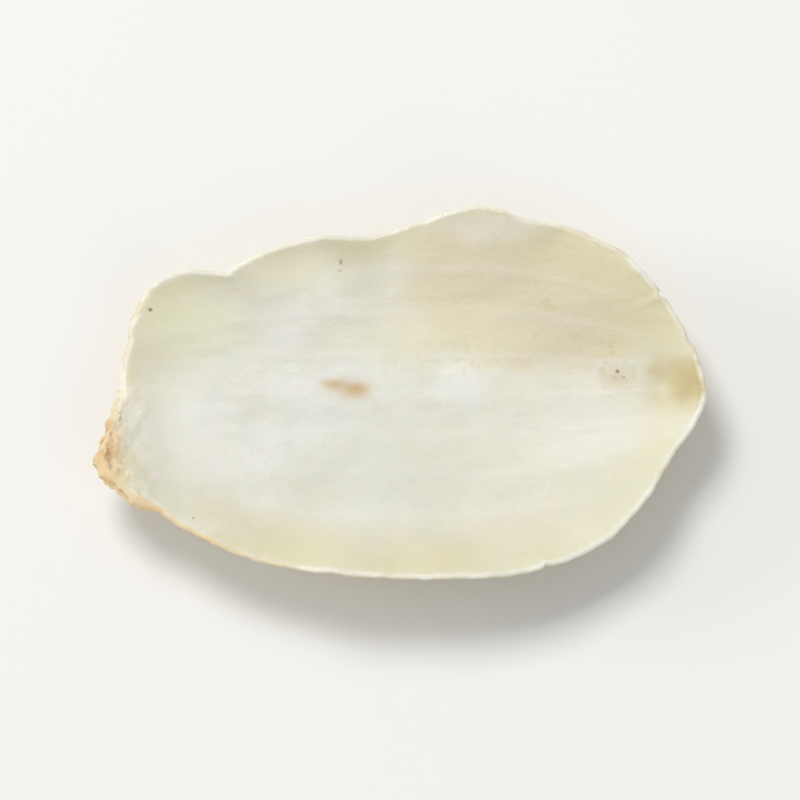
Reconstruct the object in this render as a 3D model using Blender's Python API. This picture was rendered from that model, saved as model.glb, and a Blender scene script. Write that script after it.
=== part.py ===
"""One dried scale of a lily bulb, lying on its back with its hollow side up.

The scale is a thick, horny blade that was one piece of a lily bulb. Its broad end, at -X, is where it
broke away from the bulb's base, its blunt tip is at +X, and its thin, waved margin curls up all round.
Metres, +Z up. The origin is on the surface it lies on, at the middle of its outline.
"""

import math

import bmesh
import bpy
import numpy as np
from mathutils import Matrix, Vector

MM = 0.001

# Half of the scale's length and width, which give the oval that its outline departs from
HALF_LENGTH = 17.0 * MM
HALF_WIDTH = 10.9 * MM

# The margin as seen from above, in millimetres, from the tip round by the far side to the broken end
OUTLINE_MM = [
    (17.0, -0.4), (16.6, 1.6), (15.7, 3.5), (14.6, 5.2), (12.4, 7.5), (9.5, 9.0), (7.0, 9.5), (4.3, 10.3),
    (1.4, 9.7), (-2.0, 8.8), (-5.0, 8.6), (-7.6, 7.9), (-10.0, 6.8), (-12.2, 6.8), (-14.1, 6.0),
    (-15.2, 3.9), (-15.7, 1.2), (-16.2, -1.2), (-17.0, -4.0), (-16.2, -5.6), (-13.0, -7.6), (-9.2, -9.6),
    (-4.2, -10.8), (1.5, -11.1), (6.6, -10.7), (11.1, -8.9), (13.5, -6.5), (15.1, -3.9), (16.4, -2.0),
]

# How far the middle of the blade bends up from a flat sheet
CROSS_RADIUS = 19.0 * MM
TIP_RADIUS = 58.0 * MM
BASE_RADIUS = 85.0 * MM
TWIST = 2.6
MARGIN_CURL = 0.85 * MM
MARGIN_CURL_POWER = 7
# Waves of the margin: how many go round it, how high each is, and where it starts
MARGIN_WAVES = [(3, 0.22 * MM, 0.6), (5, 0.22 * MM, 2.9), (8, 0.16 * MM, 4.4), (13, 0.09 * MM, 1.3)]
MARGIN_WAVE_POWER = 4
# Low ridges along the blade, over its veins
VEIN_RIDGES = 5
VEIN_RIDGE_HEIGHT = 0.07 * MM
# The far half near the tip dried to a flatter panel, which stands a little above the hollow
PANEL_CENTRE = (6.5 * MM, 5.2 * MM)
PANEL_REACH = (8.0 * MM, 3.4 * MM)
PANEL_RISE = 0.38 * MM
# The dimple just inside the tip
DIMPLE_CENTRE = (14.9 * MM, 0.9 * MM)
DIMPLE_REACH = (1.1 * MM, 1.4 * MM)
DIMPLE_DEPTH = 0.42 * MM

MIDDLE_THICKNESS = 2.2 * MM
MARGIN_THICKNESS = 0.62 * MM
BROKEN_END_THICKNESS = 1.5 * MM
BASE_THICKENING = 0.22
# The far half of the broken end is thinner: its share of the thickening, and where it starts and ends
FAR_END_SHARE = 0.25
FAR_END_SPAN = (-2.5 * MM, 2.0 * MM)

# The ball's cuts along each edge of the cube it starts from, and a small step on it
BALL_CUTS = 26
NORMAL_STEP = 0.01
# The turns about X and Y that bring the weight above the spot the scale lies on
REST_ROLL = math.radians(-0.7)
REST_PITCH = math.radians(0.2)
REST_SPOT_DEPTH = 0.07 * MM

BLADE_COLOUR = (0.79, 0.74, 0.58, 1.0)
BLADE_ROUGHNESS = 0.62


def clear_scene():
    for obj in list(bpy.data.objects):
        bpy.data.objects.remove(obj)


def closed_curve(points, samples_per_span=12):
    """A smooth closed curve through the points, as an array of points along it."""
    knots = np.array(points, float)
    before, after, beyond = np.roll(knots, 1, 0), np.roll(knots, -1, 0), np.roll(knots, -2, 0)
    t = (np.arange(samples_per_span) / samples_per_span)[None, :, None]
    a, b, c, d = (k[:, None, :] for k in (before, knots, after, beyond))
    spans = 0.5 * (
        2 * b + (c - a) * t + (2 * a - 5 * b + 4 * c - d) * t**2 + (3 * b - a - 3 * c + d) * t**3
    )
    return spans.reshape(-1, 2)


def outline_reach():
    """The outline's reach from the middle as a table: angles, and radii at those angles."""
    curve = closed_curve(OUTLINE_MM) * MM
    angles = np.arctan2(curve[:, 1], curve[:, 0]) % math.tau
    order = np.argsort(angles)
    return angles[order], np.hypot(curve[:, 0], curve[:, 1])[order]


def bump(x, y, centre, reach):
    """A smooth hump, 1 at its centre and near 0 past its reach."""
    return math.exp(-(((x - centre[0]) / reach[0]) ** 2) - ((y - centre[1]) / reach[1]) ** 2)


def middle_height(x, y, inward, around):
    """The height of the blade's middle sheet; inward is 0 at the middle and 1 at the margin."""
    length_radius = TIP_RADIUS if x > 0 else BASE_RADIUS
    height = y * y / (2 * CROSS_RADIUS) + x * x / (2 * length_radius)
    height += TWIST * x * y
    height += MARGIN_CURL * inward**MARGIN_CURL_POWER
    for count, rise, start in MARGIN_WAVES:
        height += rise * inward**MARGIN_WAVE_POWER * math.sin(count * around + start)
    height += PANEL_RISE * bump(x, y, PANEL_CENTRE, PANEL_REACH)
    height -= DIMPLE_DEPTH * bump(x, y, DIMPLE_CENTRE, DIMPLE_REACH)
    ridges = math.cos(VEIN_RIDGES * math.pi * y / HALF_WIDTH)
    return height + VEIN_RIDGE_HEIGHT * ridges * (1 - inward**2)


def smooth_way(value, start, end):
    """0 at the start and 1 at the end, with a smooth way between them."""
    share = min(max((value - start) / (end - start), 0.0), 1.0)
    return share * share * (3 - 2 * share)


def broken_end_share(x, y):
    """1 at the near half of the broken end, less on its far half, and 0 from a seventh of the way along."""
    far_half = smooth_way(y, *FAR_END_SPAN)
    return smooth_way(-x / HALF_LENGTH, 0.72, 0.92) * (1 - (1 - FAR_END_SHARE) * far_half)


def half_thickness(x, y, inward, margin_distance):
    """Half of the blade's thickness, falling in a round to nothing at the margin itself."""
    margin = MARGIN_THICKNESS + (BROKEN_END_THICKNESS - MARGIN_THICKNESS) * broken_end_share(x, y)
    middle = MIDDLE_THICKNESS * (1 - BASE_THICKENING * x / HALF_LENGTH)
    round_share = 1 - min(margin_distance / (margin / 2), 1.0)
    rounded = margin / 2 * math.sqrt(1 - round_share**2)
    return rounded + max(middle - margin, 0) / 2 * (1 - inward**2.2) ** 0.9


class Blade:
    """Presses the points of a ball of radius 1 into the scale's blade."""

    def __init__(self):
        self.angles, self.radii = outline_reach()

    def plan(self, ball_x, ball_y):
        """Where a point of the ball lies in plan, its share of the way to the margin, and the reach there."""
        inward = min(math.hypot(ball_x, ball_y), 1.0)
        x, y = HALF_LENGTH * ball_x, HALF_WIDTH * ball_y
        if inward < 1e-9:
            return 0.0, 0.0, 0.0, HALF_WIDTH, 0.0
        around = math.atan2(y, x) % math.tau
        reach = float(np.interp(around, self.angles, self.radii, period=math.tau))
        oval = math.hypot(x, y) / inward
        stretch = 1 + (reach / oval - 1) * inward**2
        return x * stretch, y * stretch, inward, reach, around

    def sheet_point(self, ball_x, ball_y):
        """The point of the middle sheet under a point of the ball."""
        x, y, inward, _, around = self.plan(ball_x, ball_y)
        return np.array((x, y, middle_height(x, y, inward, around)))

    def sheet_normal(self, ball_x, ball_y):
        """The upward normal of the middle sheet, by small steps towards the middle."""
        here = self.sheet_point(ball_x, ball_y)
        step_x, step_y = -math.copysign(NORMAL_STEP, ball_x), -math.copysign(NORMAL_STEP, ball_y)
        along = self.sheet_point(ball_x + step_x, ball_y) - here
        across = self.sheet_point(ball_x, ball_y + step_y) - here
        normal = np.cross(along, across) * math.copysign(1, step_x * step_y)
        return Vector(normal / np.linalg.norm(normal))

    def press(self, point):
        """The place in the blade of a point on the ball."""
        x, y, inward, reach, _ = self.plan(point.x, point.y)
        normal = self.sheet_normal(point.x, point.y)
        side = math.copysign(1.0, point.z) if abs(point.z) > 1e-6 else 0.0
        offset = normal * side * half_thickness(x, y, inward, (1 - inward) * reach)
        return Vector(self.sheet_point(point.x, point.y)) + offset


def even_ball():
    """A ball of radius 1 with evenly spread square faces, from a finely cut cube."""
    bm = bmesh.new()
    bmesh.ops.create_cube(bm, size=2)
    bmesh.ops.subdivide_edges(bm, edges=bm.edges[:], cuts=BALL_CUTS - 1, use_grid_fill=True)
    for vert in bm.verts:
        spread = [math.tan(c * math.pi / 4) if abs(c) < 1 - 1e-6 else math.copysign(1, c) for c in vert.co]
        vert.co = Vector(spread).normalized()
    return bm


def rest_turn():
    return Matrix.Rotation(REST_PITCH, 4, "Y") @ Matrix.Rotation(REST_ROLL, 4, "X")


def blade_mesh():
    """The whole scale, turned to lie as it rests, its lowest point just under the surface."""
    blade = Blade()
    bm = even_ball()
    for vert in bm.verts:
        vert.co = rest_turn() @ blade.press(vert.co)
    low = Vector([min(v.co[i] for v in bm.verts) for i in range(3)])
    high = Vector([max(v.co[i] for v in bm.verts) for i in range(3)])
    middle = (low + high) / 2
    bmesh.ops.translate(bm, verts=bm.verts, vec=(-middle.x, -middle.y, -low.z - REST_SPOT_DEPTH))
    bmesh.ops.recalc_face_normals(bm, faces=bm.faces)
    mesh = bpy.data.meshes.new("lily_bulb_scale")
    bm.to_mesh(mesh)
    bm.free()
    mesh.shade_smooth()
    return mesh


def blade_material():
    material = bpy.data.materials.new("dried_scale")
    material.use_nodes = True
    shader = material.node_tree.nodes["Principled BSDF"]
    shader.inputs["Base Color"].default_value = BLADE_COLOUR
    shader.inputs["Roughness"].default_value = BLADE_ROUGHNESS
    shader.inputs["Metallic"].default_value = 0.0
    return material


def collection_named(name):
    collection = bpy.data.collections.new(name)
    bpy.context.scene.collection.children.link(collection)
    return collection


def surface_cutter(collection):
    """A block under the surface, which takes off the little that the blade sinks below it."""
    bpy.ops.mesh.primitive_cube_add(size=1)
    cutter = bpy.context.object
    cutter.name = "surface_cutter"
    cutter.data.transform(Matrix.Diagonal((3 * HALF_LENGTH, 3 * HALF_WIDTH, HALF_WIDTH, 1)))
    cutter.data.transform(Matrix.Translation((0, 0, -HALF_WIDTH / 2)))
    cutter.hide_render = True
    cutter.display_type = "WIRE"
    for old in list(cutter.users_collection):
        old.objects.unlink(cutter)
    collection.objects.link(cutter)
    return cutter


def main():
    clear_scene()
    scale = bpy.data.objects.new("lily_bulb_scale", blade_mesh())
    collection_named("dried_lily_bulb_scale").objects.link(scale)
    scale.data.materials.append(blade_material())
    rest_spot = scale.modifiers.new("rest_spot", "BOOLEAN")
    rest_spot.operation = "DIFFERENCE"
    rest_spot.object = surface_cutter(collection_named("cutters"))


main()
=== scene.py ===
"""The looks of one dried lily bulb scale, lying hollow side up on a pale floor.

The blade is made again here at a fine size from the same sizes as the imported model, with the drying
waves, veins, broken end and blemishes of the real one, and is dressed in a procedural dried tissue.
The broken end is at -X, the tip at +X and the far margin at +Y. Lengths are in metres unless a name
ends in _mm or a docstring says millimetres.
"""

from __future__ import annotations

import logging
import math
from dataclasses import dataclass, field
from enum import Enum

import bmesh
import bpy
import numpy as np
from mathutils import Matrix, Vector, noise

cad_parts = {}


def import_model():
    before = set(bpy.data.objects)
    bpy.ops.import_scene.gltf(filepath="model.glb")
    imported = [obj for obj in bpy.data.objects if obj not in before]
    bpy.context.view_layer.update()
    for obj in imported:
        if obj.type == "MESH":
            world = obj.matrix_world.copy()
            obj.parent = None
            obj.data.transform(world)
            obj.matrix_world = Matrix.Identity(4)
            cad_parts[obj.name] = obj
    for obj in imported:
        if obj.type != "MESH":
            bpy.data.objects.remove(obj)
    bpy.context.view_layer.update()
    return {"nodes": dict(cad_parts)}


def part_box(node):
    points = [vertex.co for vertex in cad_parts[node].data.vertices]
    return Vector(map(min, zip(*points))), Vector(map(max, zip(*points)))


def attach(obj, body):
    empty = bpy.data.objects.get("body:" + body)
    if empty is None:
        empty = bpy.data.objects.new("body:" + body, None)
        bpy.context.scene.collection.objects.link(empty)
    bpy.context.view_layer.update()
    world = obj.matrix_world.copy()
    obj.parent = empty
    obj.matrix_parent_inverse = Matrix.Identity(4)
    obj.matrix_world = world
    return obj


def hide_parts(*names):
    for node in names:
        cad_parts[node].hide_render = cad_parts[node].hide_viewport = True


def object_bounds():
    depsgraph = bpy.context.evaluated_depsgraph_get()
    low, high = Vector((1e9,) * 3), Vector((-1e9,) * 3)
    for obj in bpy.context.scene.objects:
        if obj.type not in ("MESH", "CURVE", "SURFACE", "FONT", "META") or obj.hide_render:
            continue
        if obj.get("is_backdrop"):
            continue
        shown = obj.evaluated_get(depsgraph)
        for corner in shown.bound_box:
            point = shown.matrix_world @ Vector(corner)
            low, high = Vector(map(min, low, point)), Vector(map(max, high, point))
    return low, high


MM = 0.001
# A length or a share under this counts as none
TINY = 1e-6
# The sRGB curve: where its straight foot ends, the foot's slope, and the rest's offset and power
SRGB_FOOT, SRGB_SLOPE, SRGB_OFFSET, SRGB_POWER = 11, 12.92, 0.055, 2.4
LOG = logging.getLogger("lily_scale")
Pair = tuple[float, float]
Triple = tuple[float, float, float]
Tone = tuple[float, float, float, float]
Socket = bpy.types.NodeSocket


class Face(Enum):
    """The faces of the blade, by the side of its middle sheet that they are on."""

    HOLLOW = 1
    MARGIN = 0
    BACK = -1


@dataclass(frozen=True)
class Wave:
    """One wave that runs round the margin.

    Attributes:
        count: How many times it rises on its way round.
        rise: Half of its height.
        start: Its phase at the tip, in radians.
    """

    count: int
    rise: float
    start: float


@dataclass(frozen=True)
class Hump:
    """A smooth hump or, with a negative rise, a hollow in a sheet.

    Attributes:
        centre: Its place in plan.
        reach: How far it spreads along X and Y.
        rise: Its height at the centre.
    """

    centre: Pair
    reach: Pair
    rise: float

    def at(self, x: np.ndarray, y: np.ndarray) -> np.ndarray:
        """The hump's height at places in plan."""
        along, across = (x - self.centre[0]) / self.reach[0], (y - self.centre[1]) / self.reach[1]
        return self.rise * np.exp(-(along**2) - across**2)


@dataclass(frozen=True)
class Nick:
    """A small bite out of the margin.

    Attributes:
        around: Its direction from the middle, in radians from the tip.
        spread: Half of its width, in radians.
        depth: How far it reaches in.
    """

    around: float
    spread: float
    depth: float


@dataclass(frozen=True)
class Relief:
    """An uneven relief with finer and finer layers.

    Attributes:
        height: Half of its height.
        stretch: How fast it changes along X, Y and Z, per millimetre.
        octaves: How many layers it has.
    """

    height: float
    stretch: Triple
    octaves: int


@dataclass
class Plan:
    """Where points of the blade lie, seen from above.

    Attributes:
        x: Places along the blade.
        y: Places across the blade.
        inward: 0 at the middle of the blade and 1 at its margin.
        reach: The distance from the middle to the margin in that direction.
        around: The direction from the middle, in radians from the tip.
    """

    x: np.ndarray
    y: np.ndarray
    inward: np.ndarray
    reach: np.ndarray
    around: np.ndarray


@dataclass
class BladeForm:
    """The blade's outline, bend and thickness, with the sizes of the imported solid.

    It is a ball of radius 1 pressed flat. A point of the ball gives a place in plan, which gives the
    height of the blade's middle sheet and the thickness there.

    Attributes:
        half_length: Half the length of the oval that the outline departs from.
        half_width: Half the width of that oval.
        outline_mm: The margin from above, from the tip round by the far side.
        samples_per_span: How many points of the smooth outline each of those gives.
        cross_radius: The radius of the bend across the blade.
        tip_radius: The radius of the bend along its tip half.
        base_radius: The radius of the bend along its broken half.
        twist: The rise per metre along and metre across.
        margin_curl: How far the margin curls up.
        margin_curl_power: How close to the margin the curl keeps; more is closer.
        margin_waves: The waves of the margin.
        margin_wave_power: How close to the margin the waves keep.
        vein_ridges: How many low ridges lie over the veins, side by side.
        vein_ridge_height: Their height.
        panel: The flatter part near the tip, which dried a little above the hollow.
        tip_dimple: The dimple just inside the tip.
        middle_thickness: The thickness of the middle.
        margin_thickness: The thickness just inside the margin.
        broken_end_thickness: The thickness just inside the broken end.
        broken_end_span: Where the broken end starts and is whole, as shares of the half length.
        broken_end_bluntness: How much shorter its rounding is than the margin's, as a share.
        base_thickening: How much thicker than the middle the base is, as a share.
        far_end_share: The far half's share of the broken end's thickening.
        far_end_span: Where, across the blade, the far half starts and is whole.
        thinning_start: How late the blade thins on the way to its margin; more is later.
        thinning_curve: How bluntly it thins at last; less is blunter.
        step: The small step on the ball that a normal is worked out from.
    """

    half_length: float = 17.0 * MM
    half_width: float = 10.9 * MM
    outline_mm: tuple[Pair, ...] = (
        (17.0, -0.4), (16.6, 1.6), (15.7, 3.5), (14.6, 5.2), (12.4, 7.5), (9.5, 9.0), (7.0, 9.5),
        (4.3, 10.3), (1.4, 9.7), (-2.0, 8.8), (-5.0, 8.6), (-7.6, 7.9), (-10.0, 6.8), (-12.2, 6.8),
        (-14.1, 6.0), (-15.2, 3.9), (-15.7, 1.2), (-16.2, -1.2), (-17.0, -4.0), (-16.2, -5.6),
        (-13.0, -7.6), (-9.2, -9.6), (-4.2, -10.8), (1.5, -11.1), (6.6, -10.7), (11.1, -8.9),
        (13.5, -6.5), (15.1, -3.9), (16.4, -2.0),
    )
    samples_per_span: int = 12
    cross_radius: float = 19.0 * MM
    tip_radius: float = 58.0 * MM
    base_radius: float = 85.0 * MM
    twist: float = 2.6
    margin_curl: float = 0.85 * MM
    margin_curl_power: float = 7.0
    margin_waves: tuple[Wave, ...] = (
        Wave(3, 0.22 * MM, 0.6),
        Wave(5, 0.22 * MM, 2.9),
        Wave(8, 0.16 * MM, 4.4),
        Wave(13, 0.09 * MM, 1.3),
    )
    margin_wave_power: float = 4.0
    vein_ridges: int = 5
    vein_ridge_height: float = 0.07 * MM
    panel: Hump = Hump((6.5 * MM, 5.2 * MM), (8.0 * MM, 3.4 * MM), 0.38 * MM)
    tip_dimple: Hump = Hump((14.9 * MM, 0.9 * MM), (1.1 * MM, 1.4 * MM), -0.42 * MM)
    middle_thickness: float = 2.2 * MM
    margin_thickness: float = 0.26 * MM
    broken_end_thickness: float = 1.2 * MM
    broken_end_span: Pair = (0.72, 0.92)
    broken_end_bluntness: float = 0.65
    base_thickening: float = 0.22
    far_end_share: float = 0.25
    far_end_span: Pair = (-2.5 * MM, 2.0 * MM)
    thinning_start: float = 2.2
    thinning_curve: float = 0.9
    step: float = 0.004

    def __post_init__(self) -> None:
        """Works out the table of the smooth outline's reach by direction."""
        knots = np.array(self.outline_mm) * MM
        a, b, c, d = (np.roll(knots, shift, 0)[:, None, :] for shift in (1, 0, -1, -2))
        t = (np.arange(self.samples_per_span) / self.samples_per_span)[None, :, None]
        spans = 0.5 * (
            2 * b + (c - a) * t + (2 * a - 5 * b + 4 * c - d) * t**2 + (3 * b - a - 3 * c + d) * t**3
        )
        curve = spans.reshape(-1, 2)
        angles = np.arctan2(curve[:, 1], curve[:, 0]) % math.tau
        order = np.argsort(angles)
        self._angles = angles[order]
        self._radii = np.hypot(curve[:, 0], curve[:, 1])[order]

    def plan(self, ball_x: np.ndarray, ball_y: np.ndarray) -> Plan:
        """The place in plan of points on the ball.

        Args:
            ball_x: X of the points.
            ball_y: Y of the points.

        Returns:
            The plan of the points.
        """
        inward = np.minimum(np.hypot(ball_x, ball_y), 1.0)
        x, y = self.half_length * ball_x, self.half_width * ball_y
        around = np.arctan2(y, x) % math.tau
        reach = np.interp(around, self._angles, self._radii, period=math.tau)
        oval = np.hypot(x, y) / np.maximum(inward, TINY)
        stretch = np.where(inward > TINY, 1 + (reach / np.maximum(oval, TINY) - 1) * inward**2, 1.0)
        return Plan(x * stretch, y * stretch, inward, reach, around)

    def height(self, p: Plan) -> np.ndarray:
        """The height of the blade's middle sheet.

        Args:
            p: The plan of the points.

        Returns:
            One height a point.
        """
        length_radius = np.where(p.x > 0, self.tip_radius, self.base_radius)
        height = p.y**2 / (2 * self.cross_radius) + p.x**2 / (2 * length_radius)
        height += self.twist * p.x * p.y
        height += self.margin_curl * p.inward**self.margin_curl_power
        for wave in self.margin_waves:
            crest = np.sin(wave.count * p.around + wave.start)
            height += wave.rise * p.inward**self.margin_wave_power * crest
        height += self.panel.at(p.x, p.y) + self.tip_dimple.at(p.x, p.y)
        ridges = np.cos(self.vein_ridges * math.pi * p.y / self.half_width)
        return height + self.vein_ridge_height * ridges * (1 - p.inward**2)

    def sheet(self, ball_x: np.ndarray, ball_y: np.ndarray) -> np.ndarray:
        """The points of the middle sheet under points of the ball, one row each."""
        p = self.plan(ball_x, ball_y)
        return np.stack((p.x, p.y, self.height(p)), axis=1)

    def normals(self, ball_x: np.ndarray, ball_y: np.ndarray) -> np.ndarray:
        """The upward normals of the middle sheet, by small steps towards the middle.

        Args:
            ball_x: X of points on the ball.
            ball_y: Y of the same points.

        Returns:
            One normal of length 1 a row.
        """
        here = self.sheet(ball_x, ball_y)
        step_x, step_y = -np.copysign(self.step, ball_x), -np.copysign(self.step, ball_y)
        along = self.sheet(ball_x + step_x, ball_y) - here
        across = self.sheet(ball_x, ball_y + step_y) - here
        normals = np.cross(along, across) * np.copysign(1, step_x * step_y)[:, None]
        return normals / np.linalg.norm(normals, axis=1)[:, None]

    @staticmethod
    def smooth_way(value: np.ndarray, start: float, end: float) -> np.ndarray:
        """0 at the start and 1 at the end, with a smooth way between them."""
        share = np.clip((value - start) / (end - start), 0, 1)
        return share * share * (3 - 2 * share)

    def broken_end_share(self, x: np.ndarray, y: np.ndarray) -> np.ndarray:
        """1 at the near half of the broken end, less on its far half, and 0 further along."""
        end = self.smooth_way(-x / self.half_length, *self.broken_end_span)
        return end * (1 - (1 - self.far_end_share) * self.smooth_way(y, *self.far_end_span))

    def half_thickness(self, p: Plan) -> np.ndarray:
        """Half of the thickness, falling in a round to nothing at the margin itself.

        Args:
            p: The plan of the points.

        Returns:
            One length a point.
        """
        broken = self.broken_end_share(p.x, p.y)
        margin = self.margin_thickness + (self.broken_end_thickness - self.margin_thickness) * broken
        middle = self.middle_thickness * (1 - self.base_thickening * p.x / self.half_length)
        distance = (1 - p.inward) * p.reach
        round_reach = margin / 2 * (1 - self.broken_end_bluntness * broken)
        rounded = margin / 2 * np.sqrt(1 - (1 - np.minimum(distance / round_reach, 1)) ** 2)
        thinning = (1 - p.inward**self.thinning_start) ** self.thinning_curve
        return rounded + np.maximum(middle - margin, 0) / 2 * thinning


@dataclass
class LilyScale:
    """The scale itself: a blade pressed from a ball, with the fine relief of dried tissue.

    Attributes:
        form: The blade's form.
        node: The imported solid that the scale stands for.
        cuts: How many faces lie along each edge of the cube that the ball starts from.
        rest_roll: The turn about X that the scale lies at.
        rest_pitch: The turn about Y that it lies at.
        rest_spot_depth: How much is worn off its lowest spot.
        shrinkage: The soft unevenness of both faces.
        fibres: The fine fibres along the blade.
        vein_count: How many veins run along it.
        vein_height: How far they stand out.
        vein_width: Half the width of a vein, as a share of the way to the next.
        vein_ends: The square of where they would meet, as a share of the half length.
        vein_closest: The square of how close together they come at most, as a share.
        back_share: How much more the fibres and veins stand out on the back.
        crinkles: The up and down of the thin margin.
        fray: The in and out of the margin.
        broken_fray: How much more the broken end frays.
        torn_face: The torn relief of the broken end, on both faces.
        torn_margin: The torn relief along its margin.
        torn_depth: How far the torn face lies under the whole one, as a share of its relief's height.
        torn_start: How much further in the torn face starts than the thickening.
        blemish: The shrunken spot in the hollow.
        nicks: The small bites out of the margin.
        rim_mm: The radius of the circle that the margin's noises are read on.
        face_gap_mm: How far apart the noises of the two torn faces are read.
        inner_power: How close to the margin the faces' relief keeps; more is closer.
        torn_power: How close to the broken margin the torn face keeps.
        margin_power: How close to the margin its crinkles and its fray keep.
        relief_start: The half thickness from which the faces have their whole relief.
        deepest_share: The share of the half thickness that no relief goes under.
        colour_turn: How quickly the hollow's colour gives way to the back's at the margin.
        noise_fading: How much weaker each finer layer of a noise is.
        noise_fineness: How much finer each layer is.
        seed: Where all of the noises start.
    """

    form: BladeForm = field(default_factory=BladeForm)
    node: str = "lily_bulb_scale"
    cuts: int = 118
    rest_roll: float = math.radians(-0.7)
    rest_pitch: float = math.radians(0.2)
    rest_spot_depth: float = 0.07 * MM
    shrinkage: Relief = Relief(0.09 * MM, (0.16, 0.34, 0.3), 3)
    fibres: Relief = Relief(0.011 * MM, (0.22, 2.6, 1.6), 3)
    vein_count: int = 9
    vein_height: float = 0.020 * MM
    vein_width: float = 0.13
    vein_ends: float = 1.08
    vein_closest: float = 0.05
    back_share: float = 3.2
    crinkles: Relief = Relief(0.14 * MM, (0.55, 0.55, 0.55), 3)
    fray: Relief = Relief(0.085 * MM, (1.5, 1.5, 1.5), 4)
    broken_fray: float = 2.2
    torn_face: Relief = Relief(0.34 * MM, (1.0, 1.5, 1.0), 5)
    torn_margin: Relief = Relief(0.34 * MM, (1.2, 1.2, 2.2), 4)
    torn_depth: float = 0.3
    torn_start: float = 0.6 * MM
    blemish: Hump = Hump((-2.7 * MM, 0.7 * MM), (0.9 * MM, 0.4 * MM), -0.05 * MM)
    nicks: tuple[Nick, ...] = (
        Nick(0.345, 0.010, 0.32 * MM),
        Nick(0.175, 0.022, 0.12 * MM),
        Nick(2.545, 0.016, 0.28 * MM),
        Nick(5.38, 0.012, 0.20 * MM),
    )
    rim_mm: float = 12.0
    face_gap_mm: float = 4.0
    inner_power: int = 6
    torn_power: int = 12
    margin_power: int = 16
    relief_start: float = 0.25 * MM
    deepest_share: float = 0.6
    colour_turn: float = 6.0
    noise_fading: float = 0.8
    noise_fineness: float = 2.0
    seed: float = 11.3

    def ball(self) -> bpy.types.Mesh:
        """A ball of radius 1 with evenly spread square faces, from a finely cut cube.

        Returns:
            Its mesh.
        """
        bm = bmesh.new()
        bmesh.ops.create_cube(bm, size=2)
        bmesh.ops.subdivide_edges(bm, edges=bm.edges[:], cuts=self.cuts - 1, use_grid_fill=True)
        for vert in bm.verts:
            vert.co = Vector([math.tan(c * math.pi / 4) for c in vert.co]).normalized()
        bmesh.ops.recalc_face_normals(bm, faces=bm.faces)
        mesh = bpy.data.meshes.new("lily_scale_blade")
        bm.to_mesh(mesh)
        bm.free()
        return mesh

    def noise_at(self, points_mm: np.ndarray, relief: Relief) -> np.ndarray:
        """A relief's noise at points, in about -1 to 1.

        Args:
            points_mm: One point a row.
            relief: The relief, which gives the stretch and the layers.

        Returns:
            One value a point.
        """
        scaled = points_mm * np.array(relief.stretch) + self.seed
        settings = (self.noise_fading, self.noise_fineness, relief.octaves)
        return np.array([noise.fractal(Vector(row), *settings) for row in scaled])

    def vein_share(self, p: Plan) -> np.ndarray:
        """1 on the line of each vein and near 0 between them; the veins draw together at both ends.

        Args:
            p: The plan of the points.

        Returns:
            One share a point.
        """
        spread = np.clip(self.vein_ends - (p.x / self.form.half_length) ** 2, self.vein_closest, 1)
        across = p.y / (self.form.half_width * np.sqrt(spread))
        phase = across * self.vein_count / 2 + 0.5
        return np.exp(-(((phase % 1) - 0.5) / self.vein_width) ** 2)

    def relief(self, p: Plan, side: np.ndarray, points: np.ndarray) -> np.ndarray:
        """How far each point stands out of the smooth blade, along its own face's normal.

        Args:
            p: The plan of the points.
            side: The value of the face that each point is on.
            points: The points of the smooth blade.

        Returns:
            One height a point.
        """
        points_mm = points / MM
        inner = 1 - p.inward**self.inner_power
        more_on_back = np.where(side == Face.BACK.value, self.back_share, 1.0)
        relief = self.shrinkage.height * self.noise_at(points_mm, self.shrinkage) * inner
        relief += self.fibres.height * self.noise_at(points_mm, self.fibres) * inner * more_on_back
        relief += self.vein_height * self.vein_share(p) * inner * more_on_back
        relief += np.where(side == Face.HOLLOW.value, self.blemish.at(p.x, p.y), 0)
        broken = self.form.broken_end_share(p.x - self.torn_start, p.y)
        face_mm = np.stack((p.x / MM, p.y / MM, self.face_gap_mm * side), axis=1)
        torn = self.noise_at(face_mm, self.torn_face) - self.torn_depth
        return relief + self.torn_face.height * broken**2 * p.inward**self.torn_power * torn

    def margin_shift(self, p: Plan, points: np.ndarray) -> tuple[np.ndarray, np.ndarray]:
        """The fine crinkles and fraying of the margin.

        Args:
            p: The plan of the points.
            points: The points of the blade.

        Returns:
            How far each point is lifted, and the share by which it moves away from the middle.
        """
        near = p.inward**self.margin_power
        flat = np.zeros_like(p.around)
        rim_mm = np.stack((np.cos(p.around), np.sin(p.around), flat), axis=1) * self.rim_mm
        lift = self.crinkles.height * near * self.noise_at(rim_mm, self.crinkles)
        broken = self.form.broken_end_share(p.x, p.y)
        more = 1 + self.broken_fray * broken
        ragged = self.fray.height * near * more * self.noise_at(rim_mm, self.fray)
        end_mm = np.column_stack((rim_mm[:, :2], points[:, 2] / MM))
        ragged += self.torn_margin.height * near * broken * self.noise_at(end_mm, self.torn_margin)
        for nick in self.nicks:
            turn = np.abs((p.around - nick.around + math.pi) % math.tau - math.pi)
            ragged -= nick.depth * near * np.exp(-(turn / nick.spread) ** 2)
        return lift, ragged / p.reach

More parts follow.
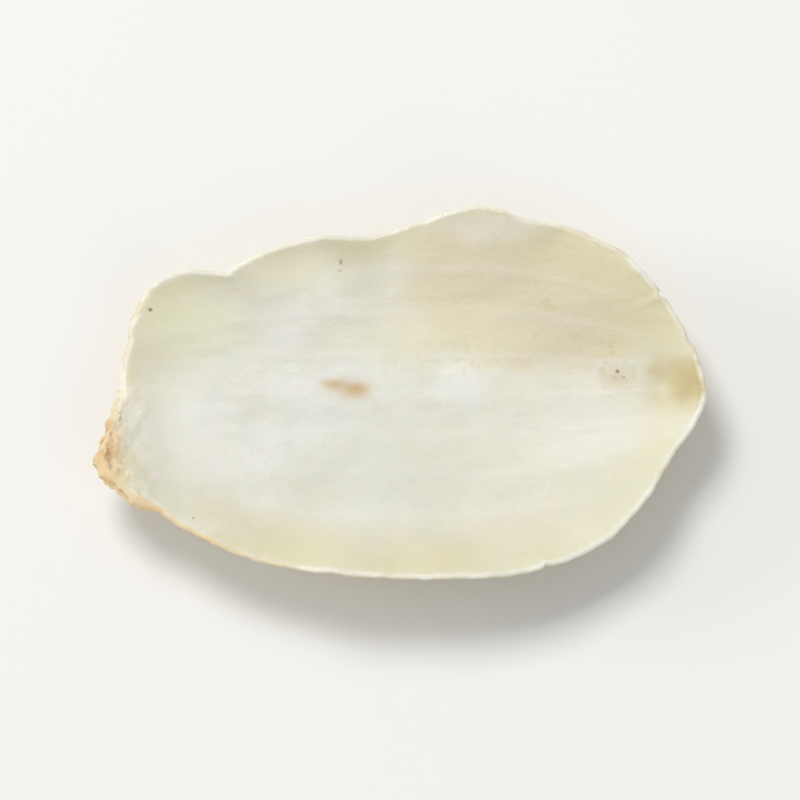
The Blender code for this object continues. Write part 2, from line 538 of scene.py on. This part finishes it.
    def shape(self, mesh: bpy.types.Mesh) -> None:
        """Presses the ball into the scale, and keeps on the mesh what its tissue needs to know.

        Args:
            mesh: The ball's mesh.
        """
        ball = np.empty(len(mesh.vertices) * 3, np.float32)
        mesh.vertices.foreach_get("co", ball)
        ball_x, ball_y, ball_z = ball.reshape(-1, 3).astype(float).T
        p = self.form.plan(ball_x, ball_y)
        normals = self.form.normals(ball_x, ball_y)
        side = np.where(np.abs(ball_z) > TINY, np.sign(ball_z), Face.MARGIN.value)
        thick = self.form.half_thickness(p)
        points = self.form.sheet(ball_x, ball_y) + normals * (side * thick)[:, None]
        at_margin = np.clip(thick / self.relief_start, 0, 1)
        relief = np.maximum(self.relief(p, side, points) * at_margin, -self.deepest_share * thick)
        points += normals * (side * relief)[:, None]
        lift, outward = self.margin_shift(p, points)
        points[:, :2] *= (1 + outward)[:, None]
        points[:, 2] += lift
        points = self.laid_down(points)
        mesh.vertices.foreach_set("co", points.astype(np.float32).ravel())
        self.keep(mesh, "inward", p.inward)
        self.keep(mesh, "hollow", np.clip(ball_z * self.colour_turn + 0.5, 0, 1))
        self.keep(mesh, "vein", self.vein_share(p))
        mesh.update()

    def laid_down(self, points: np.ndarray) -> np.ndarray:
        """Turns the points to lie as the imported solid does, with a flat spot on the surface.

        Args:
            points: One point a row.

        Returns:
            The points in the solid's place and inside its box.
        """
        turn = Matrix.Rotation(self.rest_pitch, 3, "Y") @ Matrix.Rotation(self.rest_roll, 3, "X")
        points = points @ np.array(turn).T
        low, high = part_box(self.node)
        room = np.array(high - low) + np.array((0, 0, self.rest_spot_depth))
        points = points * min(1.0, *(room / np.ptp(points, axis=0)))
        middle = (points.min(0) + points.max(0)) / 2
        points[:, 0] += (low.x + high.x) / 2 - middle[0]
        points[:, 1] += (low.y + high.y) / 2 - middle[1]
        points[:, 2] += low.z - points[:, 2].min() - self.rest_spot_depth
        points[:, 2] = np.maximum(points[:, 2], low.z)
        return points

    @staticmethod
    def keep(mesh: bpy.types.Mesh, name: str, values: np.ndarray) -> None:
        """Stores one number a vertex on the mesh under a name."""
        mesh.attributes.new(name, "FLOAT", "POINT").data.foreach_set("value", values.astype(np.float32))

    def make(self, tissue: DriedTissue) -> bpy.types.Object:
        """Builds the scale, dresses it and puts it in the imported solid's place.

        Args:
            tissue: What it is made of.

        Returns:
            The scale's object.
        """
        mesh = self.ball()
        self.shape(mesh)
        mesh.shade_smooth()
        mesh.materials.append(tissue.make())
        scale = bpy.data.objects.new("lily_scale_blade", mesh)
        bpy.context.scene.collection.objects.link(scale)
        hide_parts(self.node)
        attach(scale, "root")
        return scale


def linear_channel(value: int) -> float:
    """One channel of an sRGB colour, in 0 to 255, made linear, in 0 to 1."""
    share, straight = value / 255, value < SRGB_FOOT
    return share / SRGB_SLOPE if straight else ((share + SRGB_OFFSET) / (1 + SRGB_OFFSET)) ** SRGB_POWER


def linear(red: int, green: int, blue: int) -> Tone:
    """The linear colour, with its alpha, of an sRGB colour given in 0 to 255."""
    return (linear_channel(red), linear_channel(green), linear_channel(blue), 1.0)


class MarkKind(Enum):
    """The kinds of marks on the tissue: how each fades, wanders and goes into it."""

    PANEL = (0.68, 1.0, 4.0, 30.0)
    TIP = (0.05, 1.0, 4.0, 30.0)
    STARCHY = (0.2, 1.0, 4.0, 30.0)
    RUSTY = (0.4, 1.0, 3.0, 30.0)
    # Patches of painted light and painted shade on the hollow, and of the tip fold's stain with painted
    # shade in the fold
    PAINTED_LIGHT_AND_STAIN = (0.1, 0.3, 3.0, 30.0)
    BLEMISH = (0.0, 0.35, 1.0, 9.0)
    GRAINY = (0.3, 0.0, 3.0, 30.0)
    SPECK = (0.1, 0.0, 4.0, 30.0)

    def __init__(self, edge: float, wander: float, height: float, depth: float) -> None:
        """Names a kind's four numbers.

        Args:
            edge: The share of a mark's reach where it starts to fade.
            wander: How much its edge wanders, from 0 for a plain oval to 1.
            height: The height of its middle, in millimetres.
            depth: Its reach up and down, in millimetres.
        """
        self.edge = edge
        self.wander = wander
        self.height = height
        self.depth = depth


@dataclass(frozen=True)
class Mark:
    """A soft oval mark on the tissue.

    Attributes:
        kind: What kind of mark it is.
        centre: Its middle in plan, in millimetres.
        reach: How far it spreads along X and Y, in millimetres.
        share: How much its colour covers what is under it.
        tone: Its colour.
    """

    kind: MarkKind
    centre: Pair
    reach: Pair
    share: float
    tone: Tone


def marks_of(kind: MarkKind, tone: Tone, *rows: tuple[Pair, Pair, float]) -> tuple[Mark, ...]:
    """Marks of one kind and colour, from the centre, reach and share of each."""
    return tuple(Mark(kind, *row, tone) for row in rows)


@dataclass(frozen=True)
class Pattern:
    """A noise in the tissue, and how much of a colour it lets show.

    Attributes:
        scale: How fast it changes, per millimetre.
        detail: How many finer layers it has.
        roughness: How strong those layers are.
        span: The noise's values, in 0 to 1, where the colour starts to show and where it shows most.
        shares: How much of the colour shows at the least and at the most.
        stretch: How much faster the noise changes along X, Y and Z, where it isn't even.
    """

    scale: float
    detail: float
    roughness: float
    span: Pair = (0.0, 1.0)
    shares: Pair = (0.0, 1.0)
    stretch: Triple | None = None


class NodeWriter:
    """Adds shader nodes to a material and joins them, one call a node or two."""

    # The colour sockets of a Mix node stand after those for its other kinds of data
    mix_first: int = 6
    mix_second: int = 7
    mix_result: int = 2

    def __init__(self, name: str) -> None:
        """Starts an empty material.

        Args:
            name: The material's name.
        """
        self.material = bpy.data.materials.new(name)
        self.material.use_nodes = True
        self.nodes = self.material.node_tree.nodes
        self.links = self.material.node_tree.links
        self.nodes.clear()

    def add(self, kind: str, inputs: dict | None = None, **settings: object) -> bpy.types.Node:
        """Adds a node.

        Args:
            kind: The node's type name without its ShaderNode prefix.
            inputs: Input names or numbers, each with a socket to join or a value to set.
            **settings: Properties of the node itself.

        Returns:
            The node.
        """
        node = self.nodes.new("ShaderNode" + kind)
        for name, value in settings.items():
            setattr(node, name, value)
        for name, value in (inputs or {}).items():
            if isinstance(value, bpy.types.NodeSocket):
                self.links.new(value, node.inputs[name])
            else:
                node.inputs[name].default_value = value
        return node

    def finish(self, surface: bpy.types.Node) -> bpy.types.Material:
        """Joins a surface shader to the material's output, and gives the material."""
        self.add("OutputMaterial", {"Surface": surface.outputs[0]})
        return self.material

    def times(self, first: Socket | float, second: Socket | float) -> Socket:
        """The product of two values."""
        return self.add("Math", {0: first, 1: second}, operation="MULTIPLY").outputs[0]

    def span(self, value: Socket, ends: Pair, shares: Pair = (0.0, 1.0)) -> Socket:
        """A smooth way from one share to another.

        Args:
            value: The value that leads the way.
            ends: The value where the way starts and where it ends.
            shares: The share at its start and the share at its end.

        Returns:
            The share.
        """
        inputs = {"Value": value, "From Min": ends[0], "From Max": ends[1]}
        inputs |= {"To Min": shares[0], "To Max": shares[1]}
        return self.add("MapRange", inputs, interpolation_type="SMOOTHSTEP").outputs[0]

    def mix(self, share: Socket | float, first: Socket | Tone, second: Socket | Tone) -> Socket:
        """A colour or place that is the first at share 0 and the second at share 1."""
        inputs = {0: share, self.mix_first: first, self.mix_second: second}
        return self.add("Mix", inputs, data_type="RGBA").outputs[self.mix_result]

    def vector(self, operation: str, first: Socket, second: Socket | Triple) -> Socket:
        """The outcome of an operation on two vectors."""
        return self.add("VectorMath", {0: first, 1: second}, operation=operation).outputs[0]

    def stretched(self, vector: Socket, scale: Triple) -> Socket:
        """The vector scaled along its three axes."""
        return self.add("Mapping", {"Vector": vector, "Scale": scale}).outputs[0]

    def noise(self, place: Socket, pattern: Pattern, output: str = "Fac") -> Socket:
        """A pattern's own noise, from 0 to 1 about 0.5.

        Args:
            place: Where it is read, in millimetres.
            pattern: The pattern.
            output: Fac for one number, or Color for three.

        Returns:
            The noise.
        """
        if pattern.stretch is not None:
            place = self.stretched(place, pattern.stretch)
        inputs = {"Vector": place, "Scale": pattern.scale, "Detail": pattern.detail}
        return self.add("TexNoise", inputs | {"Roughness": pattern.roughness}).outputs[output]

    def pattern(self, place: Socket, pattern: Pattern) -> Socket:
        """How much of its colour a pattern lets show at a place in millimetres."""
        return self.span(self.noise(place, pattern), pattern.span, pattern.shares)

    def bump(self, level: Socket, relief: Pair, under: Socket | None = None) -> Socket:
        """A relief too fine for the mesh, which only turns the light.

        Args:
            level: How high it is at the point, from 0 to 1.
            relief: Its height, and how strongly it turns the light.
            under: The normal of a finer relief that it lies over, if there is one.

        Returns:
            The normal of the surface with the relief.
        """
        inputs = {"Height": level, "Distance": relief[0], "Strength": relief[1]}
        if under is not None:
            inputs["Normal"] = under
        return self.add("Bump", inputs).outputs[0]


class BladeWriter(NodeWriter):
    """A writer whose material knows where each point of the blade is.

    Attributes:
        here: The point's place, in millimetres.
        wandering: Its place pushed about by a noise, so that an edge drawn by it wanders.
        inward: 0 at the middle of the blade and 1 at its margin.
        hollow: 1 on the hollow face and 0 on the back.
        vein: 1 on the line of a vein and near 0 between the veins.
        fibres: The noise of the fibres.
        mark_places: For each kind of mark, the place that it is drawn by.
    """

    def __init__(self, name: str, wander: Pattern, wander_mm: float, fibres: Pattern) -> None:
        """Starts a material with that name, and adds the nodes that know the point.

        Args:
            name: The material's name.
            wander: The noise that pushes the wandering place about.
            wander_mm: How far it pushes.
            fibres: The fibres.
        """
        super().__init__(name)
        self.here = self.stretched(self.add("TexCoord").outputs["Object"], (1 / MM, 1 / MM, 1 / MM))
        push = self.noise(self.here, wander, "Color")
        centred = self.vector("SUBTRACT", push, (0.5, 0.5, 0.5))
        pushed = self.add("VectorMath", {0: centred, "Scale": wander_mm}, operation="SCALE").outputs[0]
        self.wandering = self.vector("ADD", self.here, pushed)
        self.inward = self.add("Attribute", attribute_name="inward").outputs["Fac"]
        self.hollow = self.add("Attribute", attribute_name="hollow").outputs["Fac"]
        self.vein = self.add("Attribute", attribute_name="vein").outputs["Fac"]
        self.fibres = self.noise(self.wandering, fibres)
        self.mark_places = {kind: self.mix(kind.wander, self.here, self.wandering) for kind in MarkKind}

    def oval(self, mark: Mark) -> Socket:
        """A mark's soft oval.

        Args:
            mark: The mark.

        Returns:
            1 inside the oval, and 0 past its reach.
        """
        centre = (*mark.centre, mark.kind.height)
        from_centre = self.vector("SUBTRACT", self.mark_places[mark.kind], centre)
        in_reaches = self.vector("DIVIDE", from_centre, (*mark.reach, mark.kind.depth))
        length = self.add("VectorMath", {0: in_reaches}, operation="LENGTH").outputs["Value"]
        return self.span(length, (1.0, mark.kind.edge))

    def painted(self, colour: Socket, marks: tuple[Mark, ...], through: Socket | float = 1.0) -> Socket:
        """A colour with marks painted over it.

        Args:
            colour: The colour under the marks.
            marks: The marks, the lowest one first.
            through: A share that all of them show through.

        Returns:
            The colour with the marks.
        """
        for mark in marks:
            share = self.times(self.oval(mark), through)
            colour = self.mix(self.times(share, mark.share), colour, mark.tone)
        return colour


@dataclass(frozen=True)
class DriedTissue:
    """The horny, starchy tissue of a dried scale: ivory, with tan, straw and brown where it aged, and with
    painted light and shade in places.

    A span along or across the blade is in millimetres, and one of the way from the middle to the
    margin in 0 to 1. A bump is a height and how strongly it turns the light.
    """

    # Its colours
    starch: Tone = linear(236, 237, 231)
    grey_starch: Tone = linear(221, 223, 209)
    ivory: Tone = linear(230, 228, 213)
    tan: Tone = linear(224, 214, 184)
    straw: Tone = linear(208, 186, 130)
    tip_olive: Tone = linear(184, 164, 104)
    margin_band: Tone = linear(225, 221, 189)
    # Partly the thin margin's own pale colour, partly a painted highlight on the rim
    pale_edge_and_highlight: Tone = linear(245, 241, 226)
    stain: Tone = linear(203, 168, 98)
    rust: Tone = linear(216, 168, 108)
    broken_tan: Tone = linear(230, 209, 162)
    rim_line: Tone = linear(236, 206, 154)
    grain: Tone = linear(212, 186, 138)
    scar: Tone = linear(158, 112, 68)
    speck: Tone = linear(92, 72, 48)
    back_tan: Tone = linear(217, 197, 148)

    # What both faces share
    wander: Pattern = Pattern(0.35, 4.0, 0.5)
    wander_mm: float = 3.2
    fibres: Pattern = Pattern(1.0, 5.0, 0.6, stretch=(0.12, 1.5, 1.0))
    vein_share: float = 0.20
    straw_grains: Pattern = Pattern(3.4, 4.0, 0.65, (0.52, 0.74), (0.0, 0.16))

    # The hollow face, and the marks on it that reach its margin, among them patches of painted light and
    # painted shade
    cloud: Pattern = Pattern(0.16, 4.0, 0.55, (0.35, 0.62))
    grey_cloud: Pattern = Pattern(1.0, 5.0, 0.6, (0.46, 0.68), (0.0, 0.6), (0.26, 0.42, 0.4))
    hollow_fibre_span: Pair = (0.45, 0.75)
    hollow_fibre_share: float = 0.15
    panel: Mark = Mark(MarkKind.PANEL, (8.8, 6.6), (10.0, 5.6), 0.85, tan)
    panel_mottle: Pattern = Pattern(1.9, 5.0, 0.7, (0.42, 0.68), (0.0, 0.42))
    tip: Mark = Mark(MarkKind.TIP, (15.8, 0.2), (2.6, 2.5), 1.0, tip_olive)
    blemishes: tuple[Mark, ...] = marks_of(
        MarkKind.BLEMISH, stain,
        ((-3.0, 0.8), (2.4, 1.2), 0.30), ((-2.6, 0.65), (1.3, 0.8), 0.85), ((-3.8, 1.15), (1.1, 0.65), 0.7),
        ((12.2, 1.2), (1.5, 1.0), 0.35),
    )
    grains: Pattern = Pattern(2.0, 4.0, 0.65, (0.50, 0.66), (0.0, 0.42))
    grainy_spots: tuple[Mark, ...] = marks_of(
        MarkKind.GRAINY, grain,
        ((3.3, 2.8), (3.8, 1.8), 1.0), ((12.3, 1.9), (2.2, 2.2), 1.0), ((9.5, 4.6), (6.0, 3.0), 0.45),
    )
    painted_light_and_fold_stain: tuple[Mark, ...] = (
        # The tip fold: partly an olive stain, partly painted shade in the fold
        Mark(MarkKind.PAINTED_LIGHT_AND_STAIN, (16.0, 1.0), (1.5, 1.9), 0.62, linear(188, 168, 112)),
        Mark(MarkKind.PAINTED_LIGHT_AND_STAIN, (14.7, 1.6), (1.5, 0.9), 0.35, linear(204, 186, 136)),
        # Painted light: lightens the far side of the broken half, where the curled margin is shaded
        Mark(MarkKind.PAINTED_LIGHT_AND_STAIN, (-11.7, 4.1), (4.5, 3.0), 0.50, linear(238, 241, 209)),
        # Painted shade: darkens the near margin and the near side by the tip, where they face the key light
        Mark(MarkKind.PAINTED_LIGHT_AND_STAIN, (-1.5, -9.2), (11.0, 3.0), 0.33, linear(216, 211, 168)),
        Mark(MarkKind.PAINTED_LIGHT_AND_STAIN, (12.0, -5.6), (4.6, 3.4), 0.40, linear(214, 215, 196)),
        # Painted shade: greys the middle of the hollow, a little to the near side, as if the dish were
        # shaded
        Mark(MarkKind.PAINTED_LIGHT_AND_STAIN, (-0.8, -4.0), (7.5, 4.8), 0.62, linear(221, 223, 211)),
        # Painted light: lightens the far half and the far margin, where the bend is shaded
        Mark(MarkKind.PAINTED_LIGHT_AND_STAIN, (2.5, 3.4), (8.5, 2.4), 0.50, linear(250, 246, 218)),
        Mark(MarkKind.PAINTED_LIGHT_AND_STAIN, (-6.2, 7.4), (5.0, 1.9), 0.50, linear(249, 247, 222)),
    )
    starchy_spots: tuple[Mark, ...] = marks_of(
        MarkKind.STARCHY, starch,
        ((-12.3, -1.5), (4.0, 5.0), 0.65), ((10.6, -1.8), (5.0, 3.2), 0.5), ((4.9, 9.6), (4.5, 1.5), 0.55),
    )
    dark_specks: tuple[Mark, ...] = marks_of(
        MarkKind.SPECK, speck,
        ((-13.9, 5.0), (0.18, 0.16), 0.75), ((-3.3, 7.75), (0.16, 0.24), 0.45),
        ((-3.35, 7.3), (0.2, 0.1), 0.25), ((12.1, 1.6), (0.17, 0.17), 0.75),
        ((12.45, 1.25), (0.12, 0.10), 0.4), ((-11.4, -7.0), (0.13, 0.10), 0.6),
    )

    # The back
    back_pale: Pattern = Pattern(1.0, 5.0, 0.6, (0.42, 0.72), (0.0, 0.6), (0.10, 0.34, 0.34))
    back_fibre_span: Pair = (0.45, 0.68)
    back_fibre_share: float = 0.45
    back_stains: Pattern = Pattern(1.0, 6.0, 0.62, (0.58, 0.74), (0.0, 0.55), (0.14, 0.3, 0.3))
    back_rust_span: Pair = (-9.5, -16.0)
    back_rust_shares: Pair = (0.0, 0.55)
    back_tip_span: Pair = (11.5, 16.5)
    back_tip_shares: Pair = (0.0, 0.6)

    # The wide band inside the margin, and the margin's thin edge, painted pale: partly the papery edge's
    # own colour, partly a painted highlight where the rim catches the light
    band_start: Pair = (0.68, 0.93)
    band_end: Pair = (0.995, 0.97)
    band_share: float = 0.75
    band_patches: Pattern = Pattern(0.22, 3.0, 0.55, (0.35, 0.65), (0.45, 1.0))
    edge_span: Pair = (0.982, 0.994)
    edge_patches: Pattern = Pattern(0.7, 3.0, 0.55, (0.35, 0.65), (0.25, 0.9))
    edge_age: Pattern = Pattern(0.33, 4.0, 0.65, (0.50, 0.62))

    # The broken end, and the line that runs on from it along the near margin
    end_span: Pair = (-14.2, -16.6)
    end_margin: Pair = (0.88, 0.985)
    low_half_span: Pair = (0.4, -1.4)
    low_half_shares: Pair = (0.14, 0.78)
    rusty_spot: Mark = Mark(MarkKind.RUSTY, (-16.7, -2.2), (2.0, 2.4), 1.0, rust)
    blotches: Pattern = Pattern(0.9, 5.0, 0.65, (0.40, 0.60), (0.2, 1.0))
    cracks: Pattern = Pattern(1.0, 6.0, 0.7, (0.54, 0.66), (0.0, 0.6), (2.2, 1.1, 2.2))
    line_along: Pair = (-5.0, -11.0)
    line_across: Pair = (-3.5, -5.0)
    line_margin: Pair = (0.984, 0.995)
    line_patches: Pattern = Pattern(0.7, 4.0, 0.6, (0.32, 0.60), (0.3, 0.9))

    # Gloss, translucency and the finest relief
    gloss: Pattern = Pattern(0.8, 4.0, 0.55, (0.3, 0.7), (0.46, 0.66))
    refraction: float = 1.42
    specular: float = 0.42
    subsurface: float = 0.42
    subsurface_reach: float = 1.1 * MM
    subsurface_by_colour: Triple = (1.0, 0.72, 0.42)
    grain_noise: Pattern = Pattern(4.5, 4.0, 0.6)
    grain_bump: Pair = (0.05 * MM, 0.6)
    fibre_bump: Pair = (0.030 * MM, 0.7)
    wrinkles: Pattern = Pattern(1.0, 4.0, 0.55, stretch=(0.30, 0.75, 0.6))
    wrinkle_bump: Pair = (0.10 * MM, 0.8)

    def hollow_colour(self, w: BladeWriter) -> Socket:
        """The hollow face: a starchy middle, a tan panel and the marks on it.

        Args:
            w: The material's writer.

        Returns:
            The colour.
        """
        colour = w.mix(w.pattern(w.here, self.cloud), self.starch, self.ivory)
        colour = w.mix(w.pattern(w.here, self.grey_cloud), colour, self.grey_starch)
        fibrous = w.times(w.span(w.fibres, self.hollow_fibre_span), self.hollow_fibre_share)
        colour = w.mix(fibrous, colour, self.ivory)
        panel = w.oval(self.panel)
        colour = w.mix(w.times(panel, self.panel.share), colour, self.panel.tone)
        mottle = w.times(panel, w.pattern(w.here, self.panel_mottle))
        colour = w.mix(mottle, colour, self.margin_band)
        colour = w.painted(colour, (self.tip, *self.blemishes))
        return w.painted(colour, self.grainy_spots, w.pattern(w.here, self.grains))

    def back_colour(self, w: BladeWriter) -> Socket:
        """The back: straw and tan, with stains that run along the fibres.

        Args:
            w: The material's writer.

        Returns:
            The colour.
        """
        colour = w.mix(w.pattern(w.wandering, self.back_pale), self.back_tan, self.ivory)
        fibrous = w.times(w.span(w.fibres, self.back_fibre_span), self.back_fibre_share)
        colour = w.mix(fibrous, colour, self.straw)
        colour = w.mix(w.pattern(w.here, self.back_stains), colour, self.stain)
        along = w.add("SeparateXYZ", {0: w.wandering}).outputs[0]
        colour = w.mix(w.span(along, self.back_rust_span, self.back_rust_shares), colour, self.rust)
        return w.mix(w.span(along, self.back_tip_span, self.back_tip_shares), colour, self.tip_olive)

    def margin_colour(self, w: BladeWriter, colour: Socket) -> Socket:
        """The margin's wide band, the hollow's marks, painted light and painted shade that lie over it, and
        its thin edge, which is partly a painted highlight.

        Args:
            w: The material's writer.
            colour: The colour of both faces.

        Returns:
            The colour with the margin's.
        """
        band = w.times(w.span(w.inward, self.band_start), w.span(w.inward, self.band_end))
        band = w.times(band, w.times(w.pattern(w.here, self.band_patches), self.band_share))
        colour = w.mix(band, colour, self.margin_band)
        # The hollow's painted light and shade, the tip fold's stain and the starchy spots
        colour = w.painted(colour, self.painted_light_and_fold_stain + self.starchy_spots, w.hollow)
        # The thin edge, painted pale: partly its papery colour, partly a painted highlight on the rim
        edge = w.times(w.span(w.inward, self.edge_span), w.pattern(w.here, self.edge_patches))
        tone = w.mix(w.pattern(w.here, self.edge_age), self.pale_edge_and_highlight, self.tan)
        return w.mix(edge, colour, tone)

    def broken_end_colour(self, w: BladeWriter, colour: Socket) -> Socket:
        """The rusty broken end, and the tan line that runs on from it along the near margin.

        Args:
            w: The material's writer.
            colour: The colour without them.

        Returns:
            The colour with them.
        """
        split = w.add("SeparateXYZ", {0: w.wandering})
        along, across = split.outputs[0], split.outputs[1]
        end = w.times(w.span(along, self.end_span), w.span(w.inward, self.end_margin))
        end = w.times(end, w.span(across, self.low_half_span, self.low_half_shares))
        colour = w.mix(end, colour, self.broken_tan)
        blotches = w.times(end, w.pattern(w.here, self.blotches))
        colour = w.painted(colour, (self.rusty_spot,), blotches)
        colour = w.mix(w.times(end, w.pattern(w.here, self.cracks)), colour, self.scar)
        line = w.times(w.span(along, self.line_along), w.span(w.inward, self.line_margin))
        line = w.times(line, w.span(across, self.line_across))
        return w.mix(w.times(line, w.pattern(w.here, self.line_patches)), colour, self.rim_line)

    def colour(self, w: BladeWriter) -> Socket:
        """The whole colour: both faces, then the veins, the margin with the painted light and shade, the
        broken end and the specks.

        Args:
            w: The material's writer.

        Returns:
            The colour.
        """
        colour = w.mix(w.hollow, self.back_colour(w), self.hollow_colour(w))
        colour = w.mix(w.times(w.vein, self.vein_share), colour, self.starch)
        colour = w.mix(w.pattern(w.here, self.straw_grains), colour, self.straw)
        colour = self.margin_colour(w, colour)
        colour = self.broken_end_colour(w, colour)
        return w.painted(colour, self.dark_specks, w.hollow)

    def normal(self, w: BladeWriter) -> Socket:
        """The finest relief: a starchy grain, the fibres over it and soft wrinkles over both.

        Args:
            w: The material's writer.

        Returns:
            The normal.
        """
        grainy = w.bump(w.noise(w.here, self.grain_noise), self.grain_bump)
        fibrous = w.bump(w.fibres, self.fibre_bump, grainy)
        return w.bump(w.noise(w.here, self.wrinkles), self.wrinkle_bump, fibrous)

    def make(self) -> bpy.types.Material:
        """Writes the tissue's material.

        Returns:
            The material.
        """
        w = BladeWriter("dried_scale_tissue", self.wander, self.wander_mm, self.fibres)
        return w.finish(w.add("BsdfPrincipled", {
            "Base Color": self.colour(w),
            "Roughness": w.pattern(w.here, self.gloss),
            "Normal": self.normal(w),
            "IOR": self.refraction,
            "Specular IOR Level": self.specular,
            "Subsurface Weight": self.subsurface,
            "Subsurface Scale": self.subsurface_reach,
            "Subsurface Radius": self.subsurface_by_colour,
        }, subsurface_method="RANDOM_WALK"))


@dataclass(frozen=True)
class PaleFloor:
    """The plain matt finish of the floor.

    Attributes:
        colour: Its colour.
        roughness: How matt it is, from 0 to 1.
    """

    colour: Tone = linear(248, 248, 247)
    roughness: float = 0.85

    def make(self) -> bpy.types.Material:
        """Writes the floor's material."""
        w = NodeWriter("pale_floor")
        return w.finish(w.add("BsdfPrincipled", {"Base Color": self.colour, "Roughness": self.roughness}))


@dataclass(frozen=True)
class SoftLight:
    """A soft square light that faces the scale.

    Attributes:
        name: Its name.
        place: Where it stands.
        size: Its side.
        power: Its power in watts.
        colour: Its colour.
    """

    name: str
    place: Triple
    size: float
    power: float
    colour: Triple

    def make(self) -> bpy.types.Object:
        """Sets the light up.

        Returns:
            The light's object.
        """
        data = bpy.data.lights.new(self.name, "AREA")
        data.size = self.size
        data.energy = self.power
        data.color = self.colour
        light = bpy.data.objects.new(self.name, data)
        light.location = self.place
        light.rotation_euler = (-Vector(self.place)).to_track_quat("-Z", "Y").to_euler()
        bpy.context.scene.collection.objects.link(light)
        return light


@dataclass
class Studio:
    """The pale floor, the soft lights and the camera.

    Attributes:
        elevation: How steeply the camera looks down.
        distance: How far it is from the scale.
        frame_width: How much it sees from side to side.
        sensor: The width of its sensor, in millimetres.
        clip: The nearest and the farthest that it sees.
        floor_size: The floor's side.
        floor_finish: The floor's finish.
        lights: A key light from behind and above, a low side light for the relief, and a weak fill.
        world_strength: The strength of the white light from all round.
    """

    elevation: float = math.radians(78)
    distance: float = 0.42
    frame_width: float = 0.0445
    sensor: float = 36.0
    clip: Pair = (0.01, 10.0)
    floor_size: float = 3.0
    floor_finish: PaleFloor = PaleFloor()
    lights: tuple[SoftLight, ...] = (
        SoftLight("key", (-0.24, 0.38, 0.70), 0.30, 3.6, (1.0, 0.985, 0.96)),
        SoftLight("side", (-0.62, 0.10, 0.24), 0.22, 0.9, (1.0, 0.98, 0.95)),
        SoftLight("fill", (0.35, -0.50, 0.45), 0.50, 0.55, (0.95, 0.975, 1.0)),
    )
    world_strength: float = 0.42

    def floor(self) -> bpy.types.Object:
        """A wide plain floor under the scale.

        Returns:
            The floor's object.
        """
        bm = bmesh.new()
        bmesh.ops.create_grid(bm, x_segments=2, y_segments=2, size=self.floor_size / 2)
        mesh = bpy.data.meshes.new("floor")
        bm.to_mesh(mesh)
        bm.free()
        mesh.materials.append(self.floor_finish.make())
        floor = bpy.data.objects.new("floor", mesh)
        bpy.context.scene.collection.objects.link(floor)
        floor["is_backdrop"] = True
        return floor

    def world(self) -> None:
        """The white light from all round."""
        world = bpy.data.worlds.new("studio")
        world.use_nodes = True
        background = world.node_tree.nodes["Background"]
        background.inputs["Color"].default_value = (1, 1, 1, 1)
        background.inputs["Strength"].default_value = self.world_strength
        bpy.context.scene.world = world

    def camera(self) -> bpy.types.Object:
        """The camera, which looks down on the hollow face from the near side.

        Returns:
            The camera's object.
        """
        low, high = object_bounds()
        target = (low + high) / 2
        data = bpy.data.cameras.new("camera")
        data.sensor_width = self.sensor
        data.lens = self.sensor * self.distance / self.frame_width
        data.clip_start, data.clip_end = self.clip
        camera = bpy.data.objects.new("camera", data)
        back = Vector((0, -math.cos(self.elevation), math.sin(self.elevation)))
        camera.location = target + back * self.distance
        camera.rotation_euler = (-back).to_track_quat("-Z", "Y").to_euler()
        bpy.context.scene.collection.objects.link(camera)
        bpy.context.scene.camera = camera
        return camera

    def make(self) -> list[bpy.types.Object]:
        """Sets up the whole studio.

        Returns:
            The floor, the lights and the camera.
        """
        made = [self.floor(), *(light.make() for light in self.lights)]
        self.world()
        made.append(self.camera())
        bpy.context.scene.view_settings.view_transform = "Standard"
        return made


def main() -> None:
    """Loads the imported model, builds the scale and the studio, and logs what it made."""
    logging.basicConfig(level=logging.INFO, format="%(message)s")
    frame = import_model()
    LOG.info("packed model: %s", ", ".join(frame["nodes"]))
    scale = LilyScale().make(DriedTissue())
    LOG.info("%s: %d faces", scale.name, len(scale.data.polygons))
    for piece in Studio().make():
        LOG.info("studio: %s", piece.name)


if __name__ == "__main__":
    main()
